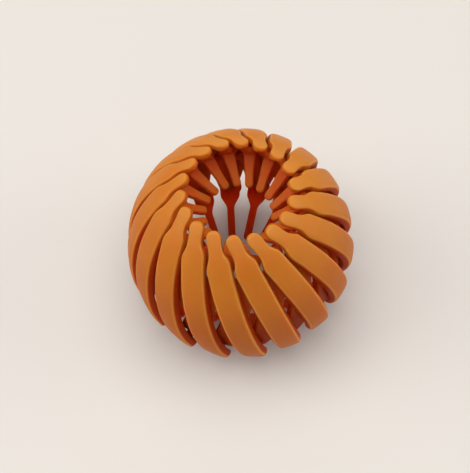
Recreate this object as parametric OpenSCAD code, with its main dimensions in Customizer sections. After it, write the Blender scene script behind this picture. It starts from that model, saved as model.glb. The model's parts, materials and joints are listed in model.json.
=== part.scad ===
// Bird nest hair clip: two layers of curved blades, crossed like scissors and closed into a ring.
// The outer blades lean one way, the inner blades lean the other way. Each outer blade is riveted to
// one inner blade above the middle, and its own moulded pin turns in the next inner blade below the
// middle. The outer blades end at the top in narrow fingers, the inner blades carry the thin teeth.
// Millimetres, +Z up, the ring's axis is Z, and the clip stands on its lower teeth at Z = 0.

/* [Ring] */
// Blades in each of the two layers
blade_count = 18; // [16:2:18]
// Diameter over the outer blades
ring_d = 70; // [68:0.5:72]
// Lean of every blade from the upright
blade_lean = 13.2; // [13:0.1:13.6]
// Turn of the whole ring about its axis
ring_turn = 12.3; // [0:0.1:20]
// Radius of a blade's bow, as a share of the ring's radius
bow_share = 1.137; // [1.125:0.001:1.15]

/* [Outer blades] */
// Width of a blade
blade_w = 7.3; // [7:0.1:7.5]
// Thickness of an outer blade
outer_t = 2.7; // [2.4:0.1:2.8]
// Chamfer along a blade's edges
edge_cut = 0.4; // [0.2:0.1:0.6]
// Width of the narrow finger at the upper end
finger_w = 4.2; // [4:0.1:4.4]
// Distance of the finger's tip from the ring's axis, along the blade's own direction
finger_x = 12.5; // [12.4:0.1:13]
// Distance at which the finger has widened to the whole blade
shoulder_x = 20.6; // [20:0.1:22]
// Length of an outer blade below the middle
outer_drop = 14.6; // [14.5:0.1:15.5]

/* [Inner blades] */
// Thickness of an inner blade
inner_t = 2.4; // [2:0.1:2.4]
// Air between the outer and the inner layer
layer_gap = 0.8; // [0.8:0.1:1]
// Length of an inner blade's strap above the middle
inner_rise = 27.8; // [27.5:0.1:28.2]
// Length of an inner blade's strap below the middle
inner_drop = 14.8; // [14.6:0.1:15]
// Width of an inner blade's strap at its upper end
inner_top_w = 4.6; // [4:0.1:5]
// Thickness of the teeth
tooth_t = 2.1; // [1.8:0.1:2.3]
// Width of a tooth at its root
tooth_root_w = 3.5; // [3:0.1:3.8]
// Width of a tooth at its tip
tooth_tip_w = 2.5; // [2.3:0.1:2.8]

/* [Pivots] */
// Radius of the rivets and of the moulded pins
pin_r = 1.3; // [1.2:0.05:1.4]
// Play of a rivet in its bores
rivet_play = 0.2; // [0.15:0.05:0.25]
// Play of a moulded pin in its bore
pin_play = 0.35; // [0.3:0.05:0.4]
// Radius of a rivet's head
head_r = 2.2; // [2:0.1:2.4]

/* [Hidden] */
$fn = 48;
bow_fn = 180;
far = 60;
pitch = 360 / blade_count;
quarter = pitch / 4;
ring_r = ring_d / 2 - outer_t / 2;
outer_bow = ring_r * bow_share;
bow_x = ring_r - outer_bow;
inner_bow = outer_bow - outer_t / 2 - layer_gap - inner_t / 2;
corner_r = 2.2;

// Angles between which the bows run before their ends are cut to shape
outer_arc = [-27, 70];
inner_arc = [-45, 60];

// Finger: sideways shift, length of the shoulder's step, and reach of the slope on the other side
finger_shift = 0.35;
step_run = 2.8;
slope_back = 3.6;
slope_ahead = 1.9;

// Inner strap's upper end: length of its taper, and the height and width of the cut corners
top_taper = 10.5;
top_cut_h = 1.4;
top_cut_w = 1.1;

// Upper tooth: polar place of its tip in the inner blade's frame
upper_tip_r = 9.7;
upper_tip_a = 8.6;
upper_tip_z = 18.7;
// Lower tooth: it runs straight from the lower pivot to this place in the same frame
lower_tip_r = 14.4;
lower_tip_a = 0.7;
lower_tip_z = -24.6;
// Start and end of each tooth's narrowing, measured from its root
upper_neck = [2, 9];
lower_neck = [3.4, 8.2];
neck_spare = 0.1;
lower_root_w = blade_w - 0.6;
// How far up the inner bow the upper tooth's root lies past the third crossing, in degrees
root_past = 4;

// Rivet: thickness of its head, room from the head's back to the blade, and depths in the outer blade
head_t = 1.2;
head_room = 2.4;
shank_past = 0.2;
bore_past = 0.5;
bore_reach = 8;

// Angle up a bow at which a leaning blade has swung round the ring by a given angle
function swing_angle(bow_r, swing) =
    let (across = tan(swing), lean = sin(blade_lean))
    atan(across / lean) + asin(bow_x * across / (bow_r * norm([lean, across])));

function polar(r, a, z) = [r * cos(a), r * sin(a), z];

// Angle below the horizontal of the way from one point to another
function fall(from, to) = asin((from.z - to.z) / norm(to - from));

// Point on an inner bow's middle line, in the inner blade's frame
function inner_point(a) = [
    bow_x + inner_bow * cos(a),
    inner_bow * sin(a) * sin(blade_lean),
    inner_bow * sin(a) * cos(blade_lean)
];

outer_pivot_a = swing_angle(outer_bow, quarter);
inner_pivot_a = swing_angle(inner_bow, quarter);
pivot_z = (outer_bow * sin(outer_pivot_a) + inner_bow * sin(inner_pivot_a)) / 2 * cos(blade_lean);
outer_pivot_r = (bow_x + outer_bow * cos(outer_pivot_a)) / cos(quarter);
inner_pivot_r = (bow_x + inner_bow * cos(inner_pivot_a)) / cos(quarter);
upper_root = inner_point(swing_angle(inner_bow, 3 * quarter) + root_past);
lower_root = polar(inner_pivot_r, -quarter, -pivot_z);
upper_tip = polar(upper_tip_r, upper_tip_a, upper_tip_z);
lower_tip = polar(lower_tip_r, lower_tip_a, lower_tip_z);
mid_z = tooth_t / 2 * cos(fall(lower_root, lower_tip)) - lower_tip_z;

function numbered(name) = [for (i = [1 : blade_count]) str(name, i < 10 ? "_0" : "_", i)];

// Flat strap bent into an arc in the XZ plane, with its outer edges chamfered
module bow(bow_r, thick, arc) {
    rotate([90, 0, 0])
        rotate([0, 0, arc[0]])
            rotate_extrude(angle = arc[1] - arc[0], $fn = bow_fn)
                translate([bow_r, 0])
                    polygon([
                        [-thick / 2, -blade_w / 2],
                        [thick / 2 - edge_cut, -blade_w / 2],
                        [thick / 2, edge_cut - blade_w / 2],
                        [thick / 2, blade_w / 2 - edge_cut],
                        [thick / 2 - edge_cut, blade_w / 2],
                        [-thick / 2, blade_w / 2]
                    ]);
}

// Outline extruded along X, with Y and Z taken from the outline
module along_x() {
    rotate([90, 0, 90])
        linear_extrude(far)
            children();
}

// Strip of the blade's width from z = low to z = high, with both corners of the low end rounded
module rounded_low_end(low, high) {
    translate([-blade_w / 2, low + corner_r])
        square([blade_w, high - low - corner_r]);
    translate([corner_r - blade_w / 2, low])
        square([blade_w - 2 * corner_r, 2 * corner_r]);
    for (side = [-1, 1])
        translate([side * (blade_w / 2 - corner_r), low + corner_r])
            circle(corner_r);
}

// Outer blade's outline seen along its plane from above: finger, shoulder and full width
module finger_outline() {
    half = finger_w / 2;
    translate([finger_x + half, finger_shift])
        circle(half);
    polygon([
        [finger_x + half, finger_shift - half],
        [shoulder_x - slope_back, finger_shift - half],
        [shoulder_x + slope_ahead, -blade_w / 2],
        [far, -blade_w / 2],
        [far, blade_w / 2],
        [shoulder_x, blade_w / 2],
        [shoulder_x - step_run, finger_shift + half],
        [finger_x + half, finger_shift + half]
    ]);
}

// Cylinder that points out from the ring's axis at a given swing and height
module radial_pin(swing, z, from_r, to_r, r) {
    rotate([0, 0, swing])
        translate([from_r, 0, z])
            rotate([0, 90, 0])
                cylinder(h = to_r - from_r, r = r);
}

// Flat tooth between two points: it narrows from its root's width along the neck, and ends round
module tooth(from, to, root_w, neck) {
    half = tooth_tip_w / 2;
    end = norm(to - from) - half;
    translate(from)
        rotate([0, fall(from, to), atan2(to.y - from.y, to.x - from.x)])
            linear_extrude(tooth_t, center = true) {
                translate([end, 0])
                    circle(half);
                polygon([
                    [0, -root_w / 2],
                    [neck[0], -root_w / 2],
                    [neck[1], -half - neck_spare],
                    [end, -half],
                    [end, half],
                    [neck[1], half + neck_spare],
                    [neck[0], root_w / 2],
                    [0, root_w / 2]
                ]);
            }
}

// Turns a blade to its place in the ring
module in_ring(turn) {
    translate([0, 0, mid_z])
        rotate([0, 0, turn])
            children();
}

module outer_strap() {
    rotate([blade_lean, 0, 0])
        intersection() {
            translate([bow_x, 0, 0])
                bow(outer_bow, outer_t, outer_arc);
            translate([0, 0, -far])
                linear_extrude(2 * far)
                    finger_outline();
            along_x()
                rounded_low_end(-outer_drop, far);
        }
}

// Outer blade: strap, blind bore for its rivet, and a moulded pin below the middle
module outer_blade(i) {
    color("#c9803a")
        in_ring(ring_turn + i * pitch)
            difference() {
                union() {
                    outer_strap();
                    radial_pin(quarter, -pivot_z, inner_pivot_r - inner_t / 2, outer_pivot_r, pin_r);
                }
                radial_pin(-quarter, pivot_z, inner_pivot_r, outer_pivot_r + bore_past, pin_r + rivet_play);
            }
}

// Inner strap: rounded below, drawn in above where the blades crowd together
module inner_strap() {
    rotate([-blade_lean, 0, 0])
        intersection() {
            translate([bow_x, 0, 0])
                bow(inner_bow, inner_t, inner_arc);
            along_x()
                rounded_low_end(-inner_drop, far);
            along_x()
                polygon([
                    [-blade_w / 2, -far],
                    [blade_w / 2, -far],
                    [blade_w / 2, inner_rise - top_taper],
                    [inner_top_w / 2, inner_rise - top_cut_h],
                    [inner_top_w / 2 - top_cut_w, inner_rise],
                    [top_cut_w - inner_top_w / 2, inner_rise],
                    [-inner_top_w / 2, inner_rise - top_cut_h],
                    [-blade_w / 2, inner_rise - top_taper]
                ]);
        }
}

// Inner blade: strap, upper tooth, lower tooth, and two bores
module inner_blade(i) {
    bore_from = inner_pivot_r - bore_reach;
    bore_to = inner_pivot_r + bore_reach;
    color("#b8662c")
        in_ring(ring_turn - 2 * quarter + i * pitch)
            difference() {
                union() {
                    inner_strap();
                    tooth(upper_root, upper_tip, tooth_root_w, upper_neck);
                    tooth(lower_root, lower_tip, lower_root_w, lower_neck);
                }
                radial_pin(quarter, pivot_z, bore_from, bore_to, pin_r + rivet_play);
                radial_pin(-quarter, -pivot_z, bore_from, bore_to, pin_r + pin_play);
            }
}

// Rivet: shank into the outer blade, head inside the inner blade
module rivet(i) {
    head_in = inner_pivot_r - inner_t / 2 - head_room;
    color("#8a4a20")
        in_ring(ring_turn - quarter + i * pitch) {
            radial_pin(0, pivot_z, head_in, head_in + head_t, head_r);
            radial_pin(0, pivot_z, head_in, outer_pivot_r + shank_past, pin_r);
        }
}

for (i = [0 : blade_count - 1]) {
    outer_blade(i);
    inner_blade(i);
    rivet(i);
}
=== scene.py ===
import json
from math import sin, cos, tan, asin, acos, atan, atan2, radians, degrees, hypot, sqrt, pi
import bpy, bmesh
from mathutils import Matrix, Vector


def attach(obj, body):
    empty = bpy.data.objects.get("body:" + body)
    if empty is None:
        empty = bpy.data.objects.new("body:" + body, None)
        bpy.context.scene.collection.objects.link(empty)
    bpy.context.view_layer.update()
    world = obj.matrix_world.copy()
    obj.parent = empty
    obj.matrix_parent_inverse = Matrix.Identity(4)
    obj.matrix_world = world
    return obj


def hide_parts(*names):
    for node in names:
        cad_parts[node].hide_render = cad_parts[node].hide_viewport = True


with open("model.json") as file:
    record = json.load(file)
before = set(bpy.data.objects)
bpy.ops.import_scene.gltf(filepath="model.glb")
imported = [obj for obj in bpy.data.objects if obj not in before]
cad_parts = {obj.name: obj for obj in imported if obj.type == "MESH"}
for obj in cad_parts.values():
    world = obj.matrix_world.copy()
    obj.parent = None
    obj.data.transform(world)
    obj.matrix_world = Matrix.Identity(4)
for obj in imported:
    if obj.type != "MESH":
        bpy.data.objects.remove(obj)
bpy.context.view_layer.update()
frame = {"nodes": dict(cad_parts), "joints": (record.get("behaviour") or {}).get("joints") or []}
print("frame loaded,", len(frame["nodes"]), "nodes")

mm = 0.001
# the whole ring in millimetres and degrees, as in the part's source
ring = {"blades": 18, "across": 70.0, "lean": 13.2, "turn": 12.3, "bowShare": 1.137,
        "outerThick": 2.7, "innerThick": 2.4, "gap": 0.8}
# how far a blade is turned about its own length, coming in between two heights
twist = {"most": 7.5, "from": 12.0, "to": -12.0}


def swingAngle(bow, swing):  # angle up a bow at which a leaning blade has swung that far round the ring
    across, lean = tan(radians(swing)), sin(radians(ring["lean"]))
    return degrees(atan(across / lean) + asin(ring["bowX"] * across / (bow * hypot(lean, across))))


def setOutRing():  # works out the two bows and the pivots
    ring["quarter"] = 360 / ring["blades"] / 4  # swing of a blade from the middle to its pivot
    radius = (ring["across"] - ring["outerThick"]) / 2
    ring["outerBow"] = radius * ring["bowShare"]
    ring["bowX"] = radius - ring["outerBow"]
    ring["innerBow"] = ring["outerBow"] - ring["outerThick"] / 2 - ring["gap"] - ring["innerThick"] / 2
    rise = 0
    for layer in ("outer", "inner"):
        bow = ring[layer + "Bow"]
        angle = radians(swingAngle(bow, ring["quarter"]))
        ring[layer + "Pivot"] = (ring["bowX"] + bow * cos(angle)) / cos(radians(ring["quarter"]))
        rise += bow * sin(angle) / 2
    ring["pivotHeight"] = rise * cos(radians(ring["lean"]))
    hinge = next(joint for joint in frame["joints"] if joint["type"] == "hinge")
    ring["middle"] = hinge["pos_m"][2] / mm - ring["pivotHeight"]  # height above the floor


setOutRing()
print("ring set out, its middle", round(ring["middle"], 2), "mm up")


# curves and fades
def smoothStep(a, b, x):
    t = min(max((x - a) / (b - a), 0.0), 1.0)
    return t * t * (3 - 2 * t)


def blendAlong(points, x):  # smooth curve through (place, value) pairs
    if x <= points[0][0]:
        return points[0][1]
    for (a, p), (b, q) in zip(points, points[1:]):
        if x <= b:
            return p + (q - p) * smoothStep(a, b, x)
    return points[-1][1]


def blendLines(points, x):  # straight lines through (place, value) pairs
    for (a, p), (b, q) in zip(points, points[1:]):
        if x <= b + 1e-6:
            return p + (q - p) * (x - a) / (b - a)
    return points[-1][1]


def crowdEdges(t, edge):  # moves the inner lines of a bar's grid towards its two edges
    side = -1 if t < 0 else 1
    return side * blendLines([(0, 0), (1 / 6, 0.22), (2 / 6, edge), (0.5, 0.5)], abs(t))


def rowRun(share, crowd, span, inset):  # distance of a bar's row from its start, rows crowd at both ends
    return inset + (span - 2 * inset) * (share - crowd * sin(2 * pi * share))


def tipShare(back, radius):  # share of the width that is left near a round tip
    return sqrt(max(1 - (1 - back / radius) ** 2, 0.0)) if back < radius else 1.0


def endShare(back, radius, least=0.15):  # share of the thickness that is left near a rounded end
    return max(tipShare(back, radius), least)


def cornerCut(back, radius):  # what a round corner takes off the half width
    return radius - sqrt(max(radius ** 2 - (radius - back) ** 2, 0.0)) if back < radius else 0.0


# making and joining meshes
def pulledBar(rows):
    # bar from x = 0 to 1, pulled out of a grid of six faces by two, half a unit to each side in y and z
    bm = bmesh.new()
    bmesh.ops.create_grid(bm, x_segments=6, y_segments=2, size=0.5)
    bmesh.ops.rotate(bm, verts=bm.verts, cent=(0, 0, 0), matrix=Matrix(((0, 0, 1), (1, 0, 0), (0, 1, 0))))
    front = bm.faces[:]
    for row in range(rows):
        pulled = bmesh.ops.extrude_face_region(bm, geom=front)["geom"]
        if row:  # the first faces stay as the cap, later ones would be inner walls
            bmesh.ops.delete(bm, geom=front, context="FACES_KEEP_BOUNDARY")
        front = [g for g in pulled if isinstance(g, bmesh.types.BMFace)]
        moved = [g for g in pulled if isinstance(g, bmesh.types.BMVert)]
        bmesh.ops.translate(bm, verts=moved, vec=(1 / rows, 0, 0))
    bmesh.ops.recalc_face_normals(bm, faces=bm.faces)
    return bm


def makePiece(bm, name):
    if bm.calc_volume(signed=True) < 0:  # faces point outwards
        bmesh.ops.reverse_faces(bm, faces=bm.faces)
    mesh = bpy.data.meshes.new(name)
    bm.to_mesh(mesh)
    bm.free()
    obj = bpy.data.objects.new(name, mesh)
    bpy.context.scene.collection.objects.link(obj)
    return obj


def finishShape(obj):  # applies the modifiers
    graph = bpy.context.evaluated_depsgraph_get()
    mesh = bpy.data.meshes.new_from_object(obj.evaluated_get(graph))
    obj.modifiers.clear()
    obj.data = mesh
    return obj


def roundOff(bm, name, levels):
    bmesh.ops.recalc_face_normals(bm, faces=bm.faces)
    obj = makePiece(bm, name)
    soft = obj.modifiers.new("round", "SUBSURF")
    soft.levels = soft.render_levels = levels
    return finishShape(obj)


def combine(obj, other, operation):
    cut = obj.modifiers.new("combine", "BOOLEAN")
    cut.operation = operation
    cut.solver = "EXACT"
    cut.object = other
    finishShape(obj)
    bpy.data.objects.remove(other)
    return obj


# points on a blade's bow
def twistAt(rise):  # the lower a blade, the more it is turned about its own length
    return radians(twist["most"]) * (1 - smoothStep(twist["to"], twist["from"], rise))


def onBow(bow, angle, offset, y, lean):  # point of a strap, in its blade's own frame
    turned = twistAt(bow * sin(radians(angle)))
    reach = bow + offset * cos(turned) + y * sin(turned)
    y = y * cos(turned) - offset * sin(turned)
    x = ring["bowX"] + reach * cos(radians(angle))
    z = reach * sin(radians(angle))
    tilt = radians(lean)
    return Vector((x, y * cos(tilt) - z * sin(tilt), y * sin(tilt) + z * cos(tilt)))


def offBow(place, bow, lean):  # the way back: angle, offset and y of a point
    tilt = radians(lean)
    y = place.y * cos(tilt) + place.z * sin(tilt)
    z = place.z * cos(tilt) - place.y * sin(tilt)
    angle = degrees(atan2(z, place.x - ring["bowX"]))
    turned = twistAt(bow * sin(radians(angle)))
    out = hypot(place.x - ring["bowX"], z) - bow
    return angle, out * cos(turned) - y * sin(turned), out * sin(turned) + y * cos(turned)


def polarPoint(reach, swing, height):
    return Vector((reach * cos(radians(swing)), reach * sin(radians(swing)), height))


# rivets, moulded pins and bores all lie along the ring's radius, play is a bore's extra radius
pins = {"radius": 1.3, "rivetPlay": 0.2, "pinPlay": 0.35, "rounding": 0.25,
        "boreStart": 1.0, "borePast": 0.5, "boreReach": 8.0}


def radialPin(swing, height, start, end, radius, rounding=0.0, segments=40):
    bm = bmesh.new()
    bmesh.ops.create_cone(bm, cap_ends=True, segments=segments, radius1=radius, radius2=radius,
                          depth=end - start)
    if rounding:
        rims = [e for e in bm.edges if abs(e.verts[0].co.z - e.verts[1].co.z) < 1e-6]
        bmesh.ops.bevel(bm, geom=rims, offset=rounding, affect="EDGES", segments=3, profile=0.5, material=-1)
    bmesh.ops.rotate(bm, verts=bm.verts, cent=(0, 0, 0), matrix=Matrix.Rotation(radians(90), 3, "Y"))
    bmesh.ops.translate(bm, verts=bm.verts, vec=((start + end) / 2, 0, height))
    bmesh.ops.rotate(bm, verts=bm.verts, cent=(0, 0, 0), matrix=Matrix.Rotation(radians(swing), 3, "Z"))
    return makePiece(bm, "pin")


# outer blades
outerBlade = {
    "rows": 66, "crowd": 0.135, "edge": 0.40, "inset": 0.04, "levels": 2,  # the grid and its subdivision
    "tip": 12.5, "low": -14.3,  # the tip's distance from the axis, the low end's height from the middle
    "thick": 3.05, "out": 0.175, "outRun": (3, 14),  # thickness, and how far outside the bow its middle lies
    "fingerThick": 2.15, "fingerOut": 0.19, "fingerRun": (3, 11),  # the same for the finger
    "tipHalf": 2.15, "tipEase": 0.98, "tipRound": 1.3,  # the finger's round tip
    "lowRound": 3.1, "endRound": 2.2, "slant": 0.95, "slantFrom": 0.75,  # the low end, cut obliquely
    "corner": 0.8, "crown": 0.08, "roll": 0.12,  # how the faces round off to the two sides
    "draft": 0.12, "outDraft": (4, 16), "inDraft": (16, 26), "endDraft": (-7, -1),  # slope of the two sides
    # the two sides by distance from the finger's tip
    "stepSide": [(0, 2.4), (2.2, 2.45), (5.2, 2.22), (6.4, 2.35), (9.4, 3.65), (20, 3.85), (60, 3.85)],
    "slopeSide": [(0, -1.75), (2.4, -1.78), (5.0, -1.70), (6.6, -1.9), (11.0, -3.62), (13, -3.65),
                  (20, -3.85), (60, -3.85)]}


def outerEnds():  # angles up the bow of a blade's tip and of its low end
    tip = degrees(acos((outerBlade["tip"] - ring["bowX"]) / ring["outerBow"]))
    return tip, degrees(asin(outerBlade["low"] / ring["outerBow"]))


def outerEdges(run):
    return blendAlong(outerBlade["slopeSide"], run), blendAlong(outerBlade["stepSide"], run)


def outerStrap():
    form = outerBlade
    high, low = outerEnds()
    span = radians(high - low) * ring["outerBow"]
    bm = pulledBar(form["rows"])
    for v in bm.verts:
        run = rowRun(v.co.x, form["crowd"], span, form["inset"])  # from the tip
        back = span - run
        left, right = outerEdges(run)
        mid, half = (left + right) / 2, (right - left) / 2
        if run < form["tipHalf"]:
            half *= tipShare(run, form["tipHalf"]) * form["tipEase"]
        half -= cornerCut(back, form["lowRound"])
        strap = smoothStep(*form["fingerRun"], run)  # 0 on the finger, 1 past the shoulder
        thick = form["fingerThick"] + (form["thick"] - form["fingerThick"]) * strap
        thin = endShare(run, form["tipRound"]) * endShare(back, form["endRound"])
        side = abs(crowdEdges(v.co.y, form["edge"])) * 2
        thin *= form["corner"] if side > 0.99 else 1 - form["crown"] * side ** 2
        middle = form["out"] * smoothStep(*form["outRun"], run) + form["fingerOut"] * (1 - strap)
        offset = middle + v.co.z * thick * thin
        if v.co.z > 0:  # the outside rolls down to its two sides
            offset -= form["roll"] * side ** 3 * half / form["stepSide"][-1][1]
            slope = smoothStep(*form["outDraft"], run)
        else:
            slope = smoothStep(*form["inDraft"], run) - smoothStep(*form["endDraft"], -back)
        # the two sides slope outward to the inside, where the next blade leaves room
        half *= 1 - 2 * form["draft"] * v.co.z * slope
        skew = form["slant"] * 2 * v.co.y * smoothStep(form["slantFrom"], 1, v.co.x)
        angle = high - degrees((run - skew) / ring["outerBow"])
        across = mid + 2 * half * crowdEdges(v.co.y, form["edge"])
        v.co = onBow(ring["outerBow"], angle, offset, across, ring["lean"])
    return roundOff(bm, "outer strap", form["levels"])


def outerShape():
    swing, height = ring["quarter"], ring["pivotHeight"]
    blade = outerStrap()
    start = ring["innerPivot"] - ring["innerThick"] / 2
    pin = radialPin(swing, -height, start, ring["outerPivot"], pins["radius"], pins["rounding"])
    combine(blade, pin, "UNION")
    start, end = ring["innerPivot"] - pins["boreStart"], ring["outerPivot"] + pins["borePast"]
    bore = radialPin(-swing, height, start, end, pins["radius"] + pins["rivetPlay"])
    return combine(blade, bore, "DIFFERENCE")


# inner blades
innerBlade = {
    "rows": 46, "crowd": 0.12, "edge": 0.42, "inset": 0.1, "levels": 1,  # the grid and its subdivision
    "top": 27.8, "low": -14.8,  # heights of the two ends from the ring's middle
    "width": 7.3, "topWidth": 5.1, "taper": 8.5, "flatTop": 1.4,  # the strap narrows to its top
    "lowRound": 2.3, "topRound": 1.6, "endRound": 1.2,
    "voxel": 0.26, "ease": 0.5, "easeRounds": 6}  # how the teeth are blended into the strap
teeth = {"rows": 30, "crowd": 0.13, "edge": 0.4, "inset": 0.08, "levels": 1,
         "thick": 2.1, "tipWidth": 2.5, "endRound": 0.9,
         "rootPast": 4.0,  # degrees up the bow from the third crossing to the upper tooth's root
         # tip as reach, swing and height, width at the root, and the run over which it narrows
         "upper": {"tip": (9.7, 8.6, 18.7), "width": 3.5, "neck": (2, 9)},
         "lower": {"tip": (14.4, 0.7, -24.97), "width": 6.7, "neck": (3.4, 8.2)}}


def innerStrap():
    form = innerBlade
    low, high = (degrees(asin(form[end] / ring["innerBow"])) for end in ("low", "top"))
    span = radians(high - low) * ring["innerBow"]
    bm = pulledBar(form["rows"])
    for v in bm.verts:
        run = rowRun(v.co.x, form["crowd"], span, form["inset"])  # from the top
        back = span - run
        angle = high - degrees(run / ring["innerBow"])
        rise = ring["innerBow"] * sin(radians(angle))
        fade = min(max((rise - (form["top"] - form["taper"])) / (form["taper"] - form["flatTop"]), 0), 1)
        half = (form["width"] + (form["topWidth"] - form["width"]) * fade) / 2
        half -= cornerCut(run, form["topRound"])
        half -= cornerCut(back, form["lowRound"])
        thin = endShare(run, form["endRound"]) * endShare(back, form["endRound"])
        offset = v.co.z * ring["innerThick"] * thin
        across = 2 * half * crowdEdges(v.co.y, form["edge"])
        v.co = onBow(ring["innerBow"], angle, offset, across, -ring["lean"])
    return roundOff(bm, "inner strap", form["levels"])


def toothBar(root, tooth):
    form = teeth
    way = polarPoint(*tooth["tip"]) - root
    span = way.length
    forward = way.normalized()
    side = Vector((-forward.y, forward.x, 0)).normalized()
    up = forward.cross(side)
    tipHalf = form["tipWidth"] / 2
    bm = pulledBar(form["rows"])
    for v in bm.verts:
        crowd = form["crowd"] if v.co.x > 0.5 else 0  # rows crowd at the tip alone
        run = rowRun(v.co.x, crowd, span, form["inset"])
        back = span - run
        half = (tooth["width"] + (form["tipWidth"] - tooth["width"]) * smoothStep(*tooth["neck"], run)) / 2
        half *= tipShare(back, tipHalf)
        thin = endShare(back, form["endRound"])
        y = 2 * half * crowdEdges(v.co.y, form["edge"])
        v.co = root + forward * run + side * y + up * (v.co.z * form["thick"] * thin)
    return roundOff(bm, "tooth", form["levels"])


def innerShape():
    swing, height = ring["quarter"], ring["pivotHeight"]
    blade = innerStrap()
    rootAngle = swingAngle(ring["innerBow"], 3 * swing) + teeth["rootPast"]
    upperRoot = onBow(ring["innerBow"], rootAngle, 0, 0, -ring["lean"])
    lowerRoot = polarPoint(ring["innerPivot"], -swing, -height)
    combine(blade, toothBar(upperRoot, teeth["upper"]), "UNION")
    combine(blade, toothBar(lowerRoot, teeth["lower"]), "UNION")
    melt = blade.modifiers.new("melt", "REMESH")
    melt.mode = "VOXEL"
    melt.voxel_size = innerBlade["voxel"]
    ease = blade.modifiers.new("ease", "SMOOTH")
    ease.factor = innerBlade["ease"]
    ease.iterations = innerBlade["easeRounds"]
    finishShape(blade)
    start, end = ring["innerPivot"] - pins["boreReach"], ring["innerPivot"] + pins["boreReach"]
    for side, play in ((1, pins["rivetPlay"]), (-1, pins["pinPlay"])):
        bore = radialPin(side * swing, side * height, start, end, pins["radius"] + play)
        combine(blade, bore, "DIFFERENCE")
    return blade


# rivets
rivetPart = {"head": 2.2, "headThick": 1.2, "headRound": 0.4, "headSegments": 48, "room": 2.4,
             "shankIn": 0.3, "shankPast": 0.2, "shankRound": 0.15}


def rivetShape():
    form = rivetPart
    height = ring["pivotHeight"]
    start = ring["innerPivot"] - ring["innerThick"] / 2 - form["room"]
    head = radialPin(0, height, start, start + form["headThick"], form["head"],
                     form["headRound"], form["headSegments"])
    shank = radialPin(0, height, start + form["shankIn"], ring["outerPivot"] + form["shankPast"],
                      pins["radius"], form["shankRound"])
    return combine(head, shank, "UNION")


# surface marks, which paint light and shade into the colour
# the shade mark is 0 on the outside of the clip and 1 deep inside, where it paints shade and red bounce
# light; pale is 1 on thin rims and tips, where it paints highlights and sheen
# each pair gives the distances between which a mark comes in or goes: edge in from a side, depth down
# from the outside, run along from the tip, offset out from the bow, height and reach from the ring's middle
# outer blades: side paints shade on the side walls in the gaps, less on the inner face and near the finger,
# low paints shade further down the blade, the rim mark paints a highlight along the sides and tip a sheen on
# the finger
outerFade = {"rimHighlight": 0.6, "rimEdge": (0.1, 0.5), "rimDepth": (0.7, 1.1),
             "tip": 0.4, "tipRun": (0.5, 9.0), "tipDepth": (0.5, 1.5),
             "sideDepth": (0.25, 1.1), "inFace": 0.5, "inFaceDepth": (2.5, 2.9),
             "fingerSide": 0.35, "sideRun": (6, 24), "low": 0.42, "lowRun": (10, 40)}
# inner blades: painted shade on the strap's outside and sides, less in the upper half, on the lower tooth and
# at the tooth roots, and a painted highlight on the upper teeth near their tips
innerFade = {"lowToothShade": 0.6, "lowToothHeight": (-19, -13), "tipFrom": 8, "tipReach": (11, 19),
             "root": 0.45, "rootOffset": (-8, -2), "rootHeight": (-15, -12), "rootTop": (-8, -5),
             "backOffset": (-1.3, -0.8), "backTop": 0.7, "backHeight": (3, 12)}


def markSurface(obj, measure):
    marks = [measure(v.co) for v in obj.data.vertices]
    for column, name in enumerate(("painted_shade", "pale")):
        mark = obj.data.attributes.new(name, "FLOAT", "POINT")
        mark.data.foreach_set("value", [pair[column] for pair in marks])
    return obj


def outerMarks(place):
    form, fade = outerBlade, outerFade
    angle, offset, y = offBow(place, ring["outerBow"], ring["lean"])
    run = radians(outerEnds()[0] - angle) * ring["outerBow"]
    left, right = outerEdges(run)
    edge = min(y - left, right - y) - form["draft"] * (right - left) / 2 * smoothStep(*form["outDraft"], run)
    depth = form["out"] + form["thick"] / 2 - offset
    # painted highlight along the rims and painted sheen on the finger
    rimHighlight = fade["rimHighlight"] * (1 - smoothStep(*fade["rimEdge"], edge)) * (1 - smoothStep(*fade["rimDepth"], depth))
    tip = fade["tip"] * (1 - smoothStep(*fade["tipRun"], run)) * (1 - smoothStep(*fade["tipDepth"], depth))
    # painted shade on the side walls between the blades and further down the blade
    side = smoothStep(*fade["sideDepth"], depth) - fade["inFace"] * smoothStep(*fade["inFaceDepth"], depth)
    side *= fade["fingerSide"] + (1 - fade["fingerSide"]) * smoothStep(*fade["sideRun"], run)
    return max(side, fade["low"] * smoothStep(*fade["lowRun"], run)), max(rimHighlight, tip)


def innerMarks(place):
    fade = innerFade
    offset = offBow(place, ring["innerBow"], -ring["lean"])[1]
    # painted shade on the lower tooth, the roots and the strap, and a painted highlight at the upper tooth
    # tips
    lowToothShade = fade["lowToothShade"] * (1 - smoothStep(*fade["lowToothHeight"], place.z))
    root = fade["root"] * smoothStep(*fade["rootOffset"], offset)
    root *= smoothStep(*fade["rootHeight"], place.z) * (1 - smoothStep(*fade["rootTop"], place.z))
    back = smoothStep(*fade["backOffset"], offset)
    back *= 1 - fade["backTop"] * smoothStep(*fade["backHeight"], place.z)
    tip = 1 - smoothStep(*fade["tipReach"], hypot(place.x, place.y)) if place.z > fade["tipFrom"] else 0.0
    return max(back, lowToothShade, root), tip


def rivetMarks(place):  # a rivet takes the shade mark all over, so its whole colour is its painted shade tone
    return 1.0, 0.0


# plastic
plastic = {"roughness": 0.44, "roughPatch": 0.16, "patchScale": 130,
           "toneScale": 45, "toneSpread": (0.35, 0.65),
           "grain": 900.0, "grainHeight": 0.00003, "grainStrength": 0.25,
           "shader": {"Coat Roughness": 0.5, "Subsurface Weight": 0.8, "Subsurface Radius": (1.0, 0.22, 0.05),
                      "Subsurface Scale": 0.008, "IOR": 1.5, "Specular IOR Level": 0.04}}
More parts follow.
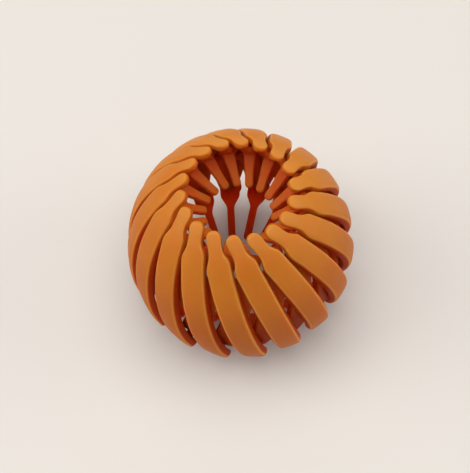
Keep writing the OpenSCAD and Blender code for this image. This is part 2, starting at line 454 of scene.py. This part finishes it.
# light and deep are the plastic's own colour, shifting at random; inner is painted shade, pale a painted
# highlight and sheen
outerTones = {"light": (0.56, 0.184, 0.013), "deep": (0.52, 0.152, 0.009), "inner": (0.36, 0.034, 0.002),
              "pale": (0.66, 0.29, 0.045), "shine": 0.4}
# the inner blades: a copy of the same plastic with red bounce light and shade painted into all its tones
innerTones = {"light": (0.72, 0.085, 0.007), "deep": (0.70, 0.092, 0.008), "inner": (0.40, 0.040, 0.003),
              "pale": (0.55, 0.108, 0.010), "shine": 0.15}
# the rivets: the same copy, with red bounce light and shade painted into all its tones
rivetTones = {"light": (0.66, 0.080, 0.007), "deep": (0.62, 0.070, 0.006), "inner": (0.62, 0.070, 0.006),
              "pale": (0.66, 0.080, 0.007), "shine": 0.15}
mixFirst, mixSecond, mixResult = 6, 7, 2  # a Mix node's colour sockets


def addNoise(nodes, links, place, detail):
    noise = nodes.new("ShaderNodeTexNoise")
    noise.inputs["Detail"].default_value = detail
    links.new(place.outputs["Object"], noise.inputs["Vector"])
    return noise


def addMix(nodes, links, share, first, second):
    mix = nodes.new("ShaderNodeMix")
    mix.data_type = "RGBA"
    links.new(share, mix.inputs["Factor"])
    links.new(first, mix.inputs[mixFirst])
    links.new(second, mix.inputs[mixSecond])
    return mix.outputs[mixResult]


def mouldedSurfaceAndPaintedLight():
    # slow shift of tone, fine pitted grain and patches of roughness of a moulded matt plastic, with painted
    # shade, red bounce light and highlights mixed into its colour by the two marks
    group = bpy.data.node_groups.new("moulded surface and painted light", "ShaderNodeTree")
    sockets = {"INPUT": {"Color": ("Light tone", "Deep tone", "Inner tone", "Pale tone"),
                         "Float": ("Tone scale", "Grain scale", "Painted_shade", "Pale", "Roughness", "Shine")},
               "OUTPUT": {"Color": ("Color",), "Float": ("Roughness", "Height", "Coat")}}
    for way, kinds in sockets.items():
        for kind, names in kinds.items():
            for name in names:
                group.interface.new_socket(name, in_out=way, socket_type="NodeSocket" + kind)
    nodes, links = group.nodes, group.links
    given, out = nodes.new("NodeGroupInput"), nodes.new("NodeGroupOutput")
    place = nodes.new("ShaderNodeTexCoord")
    slow, fine, flow = (addNoise(nodes, links, place, detail) for detail in (3, 2, 4))
    links.new(given.outputs["Tone scale"], slow.inputs["Scale"])
    links.new(given.outputs["Grain scale"], fine.inputs["Scale"])
    flow.inputs["Scale"].default_value = plastic["patchScale"]
    spread = nodes.new("ShaderNodeMapRange")
    spread.inputs["From Min"].default_value, spread.inputs["From Max"].default_value = plastic["toneSpread"]
    links.new(slow.outputs["Fac"], spread.inputs["Value"])
    tone = addMix(nodes, links, spread.outputs["Result"],
                  given.outputs["Deep tone"], given.outputs["Light tone"])
    # painted shade and red bounce light where the shade mark is high
    shaded = addMix(nodes, links, given.outputs["Painted_shade"], tone, given.outputs["Inner tone"])
    # painted highlight and sheen where the pale mark is high
    highlighted = addMix(nodes, links, given.outputs["Pale"], shaded, given.outputs["Pale tone"])
    links.new(highlighted, out.inputs["Color"])
    patch = nodes.new("ShaderNodeMath")
    patch.operation = "MULTIPLY_ADD"
    links.new(flow.outputs["Fac"], patch.inputs[0])
    patch.inputs[1].default_value = plastic["roughPatch"]
    links.new(given.outputs["Roughness"], patch.inputs[2])
    links.new(patch.outputs[0], out.inputs["Roughness"])
    links.new(fine.outputs["Fac"], out.inputs["Height"])
    dull = nodes.new("ShaderNodeMapRange")  # the hidden sides, where shade is painted, shine less
    links.new(given.outputs["Painted_shade"], dull.inputs["Value"])
    links.new(given.outputs["Shine"], dull.inputs["To Min"])
    dull.inputs["To Max"].default_value = 0
    links.new(dull.outputs["Result"], out.inputs["Coat"])
    return group


def orangePlastic(name, tones):
    made = bpy.data.materials.new(name)
    made.use_nodes = True
    nodes, links = made.node_tree.nodes, made.node_tree.links
    shader = nodes["Principled BSDF"]
    surface = nodes.new("ShaderNodeGroup")
    surface.node_tree = bpy.data.node_groups.get("moulded surface and painted light") or mouldedSurfaceAndPaintedLight()
    for tone in ("light", "deep", "inner", "pale"):
        surface.inputs[tone.capitalize() + " tone"].default_value = (*tones[tone], 1)
    surface.inputs["Tone scale"].default_value = plastic["toneScale"]
    surface.inputs["Grain scale"].default_value = plastic["grain"]
    surface.inputs["Roughness"].default_value = plastic["roughness"]
    surface.inputs["Shine"].default_value = tones["shine"]
    for markName in ("painted_shade", "pale"):
        mark = nodes.new("ShaderNodeAttribute")
        mark.attribute_name = markName
        links.new(mark.outputs["Fac"], surface.inputs[markName.capitalize()])
    bump = nodes.new("ShaderNodeBump")
    bump.inputs["Strength"].default_value = plastic["grainStrength"]
    bump.inputs["Distance"].default_value = plastic["grainHeight"]
    links.new(surface.outputs["Height"], bump.inputs["Height"])
    links.new(bump.outputs["Normal"], shader.inputs["Normal"])
    links.new(surface.outputs["Color"], shader.inputs["Base Color"])
    links.new(surface.outputs["Roughness"], shader.inputs["Roughness"])
    links.new(surface.outputs["Coat"], shader.inputs["Coat Weight"])
    for socket, value in plastic["shader"].items():
        shader.inputs[socket].default_value = value
    return made


# the ring
sharpFrom = 50  # degrees between two faces past which their edge stays sharp


def putRound(shape, kind, turn, material):
    shape.data.materials.clear()
    shape.data.materials.append(material)
    for polygon in shape.data.polygons:
        polygon.use_smooth = True
    shape.data.set_sharp_from_angle(angle=radians(sharpFrom))
    for i in range(ring["blades"]):
        name = kind + "_%02d" % (i + 1)
        mesh = shape.data.copy()
        angle = radians(turn + i * 360 / ring["blades"])
        lift = Matrix.Translation((0, 0, ring["middle"]))
        mesh.transform(Matrix.Scale(mm, 4) @ lift @ Matrix.Rotation(angle, 4, "Z"))
        piece = bpy.data.objects.new("dressed_" + name, mesh)
        bpy.context.scene.collection.objects.link(piece)
        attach(piece, name)
        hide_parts(name)
    count = len(shape.data.polygons)
    bpy.data.objects.remove(shape)
    print(kind, "x", ring["blades"], "with", count, "faces each")


# one plastic in three copies, with light painted in: shade and highlights outside, red bounce light and shade
# inside and on the rivets
outerOrange = orangePlastic("orange plastic outside, painted shade and highlights", outerTones)
innerOrange = orangePlastic("orange plastic inside, painted bounce light and shade", innerTones)
rivetOrange = orangePlastic("orange plastic rivets, painted bounce light and shade", rivetTones)
innerTurn, rivetTurn = ring["turn"] - 2 * ring["quarter"], ring["turn"] - ring["quarter"]
putRound(markSurface(outerShape(), outerMarks), "outer_blade", ring["turn"], outerOrange)
putRound(markSurface(innerShape(), innerMarks), "inner_blade", innerTurn, innerOrange)
putRound(markSurface(rivetShape(), rivetMarks), "rivet", rivetTurn, rivetOrange)

# floor
floorSheet = {"size": 3.0, "tone": (0.694, 0.642, 0.602), "shift": 0.01, "patches": 6,
              "shader": {"Roughness": 0.9, "Specular IOR Level": 0.1}}


def paleFloor():
    bm = bmesh.new()
    bmesh.ops.create_grid(bm, x_segments=4, y_segments=4, size=floorSheet["size"] / 2)
    obj = makePiece(bm, "floor")
    made = bpy.data.materials.new("pale floor")
    made.use_nodes = True
    nodes, links = made.node_tree.nodes, made.node_tree.links
    shader = nodes["Principled BSDF"]
    noise = addNoise(nodes, links, nodes.new("ShaderNodeTexCoord"), 2)
    noise.inputs["Scale"].default_value = floorSheet["patches"]
    mix = nodes.new("ShaderNodeMix")
    mix.data_type = "RGBA"
    for socket, share in ((mixFirst, 1 - floorSheet["shift"]), (mixSecond, 1 + floorSheet["shift"])):
        mix.inputs[socket].default_value = (*[share * channel for channel in floorSheet["tone"]], 1)
    links.new(noise.outputs["Fac"], mix.inputs["Factor"])
    links.new(mix.outputs[mixResult], shader.inputs["Base Color"])
    for socket, value in floorSheet["shader"].items():
        shader.inputs[socket].default_value = value
    obj.data.materials.append(made)


paleFloor()
print("floor laid")

# light, in metres and watts
softLights = {"above": {"place": (0.0, 0.0, 1.3), "size": 1.7, "power": 16.6, "tone": (1.0, 1.0, 1.0)},
              "back": {"place": (0.0, 1.0, 0.8), "size": 0.8, "power": 0.6, "tone": (1.0, 1.0, 1.0)},
              "left": {"place": (-0.9, 0.0, 0.75), "size": 0.8, "power": 4.6, "tone": (0.97, 1.0, 0.95)},
              "right": {"place": (1.0, 0.0, 0.5), "size": 0.7, "power": 2.9, "tone": (0.96, 1.0, 0.93)}}
softRoom = {"tone": (1.0, 1.0, 1.0), "strength": 0.23, "aim": (0, 0, 0.02)}


def softLight(name, lamp):
    light = bpy.data.lights.new(name, "AREA")
    light.shape = "DISK"
    light.size = lamp["size"]
    light.energy = lamp["power"]
    light.color = lamp["tone"]
    holder = bpy.data.objects.new(name, light)
    holder.location = lamp["place"]
    way = Vector(softRoom["aim"]) - holder.location
    holder.rotation_euler = way.to_track_quat("-Z", "Y").to_euler()
    bpy.context.scene.collection.objects.link(holder)


def paleRoom():
    world = bpy.data.worlds.new("soft room")
    world.use_nodes = True
    background = world.node_tree.nodes["Background"]
    background.inputs["Color"].default_value = (*softRoom["tone"], 1)
    background.inputs["Strength"].default_value = softRoom["strength"]
    bpy.context.scene.world = world
    bpy.context.scene.view_settings.view_transform = "Standard"


for name, lamp in softLights.items():
    softLight(name, lamp)
paleRoom()
print("lights set")

# camera fitted to the photo, angles in radians, lengths in ring radii, the focal length in pixels
cameraFit = {"elevation": 1.0913, "distance": 8.0, "shiftX": 0.0481, "shiftY": -0.0657,
             "roll": 0.01, "tilt": -0.0248, "focal": 888.1, "imageWidth": 470, "sensor": 36}


def photoCamera():
    fit = cameraFit
    right = Vector((cos(fit["tilt"]), 0, sin(fit["tilt"])))
    high = Vector((-sin(fit["tilt"]), 0, cos(fit["tilt"])))
    toward = -Vector((0, 1, 0)) * cos(fit["elevation"]) + high * sin(fit["elevation"])
    up = Vector((0, 1, 0)) * sin(fit["elevation"]) + high * cos(fit["elevation"])
    data = bpy.data.cameras.new("photo camera")
    data.sensor_fit = "HORIZONTAL"
    data.sensor_width = fit["sensor"]
    data.lens = fit["focal"] / fit["imageWidth"] * fit["sensor"]
    data.clip_start = 0.01
    camera = bpy.data.objects.new("photo camera", data)
    x = cos(fit["roll"]) * right - sin(fit["roll"]) * up
    y = sin(fit["roll"]) * right + cos(fit["roll"]) * up
    turn = Matrix((x, y, x.cross(y))).transposed().to_4x4()
    centre = Vector((0, 0, ring["middle"] * mm))
    unit = ring["across"] / 2 * mm
    spot = centre + unit * (fit["distance"] * toward - fit["shiftX"] * right - fit["shiftY"] * up)
    camera.matrix_world = Matrix.Translation(spot) @ turn
    bpy.context.scene.collection.objects.link(camera)
    bpy.context.scene.camera = camera


photoCamera()
print("camera set")

bpy.context.view_layer.update()
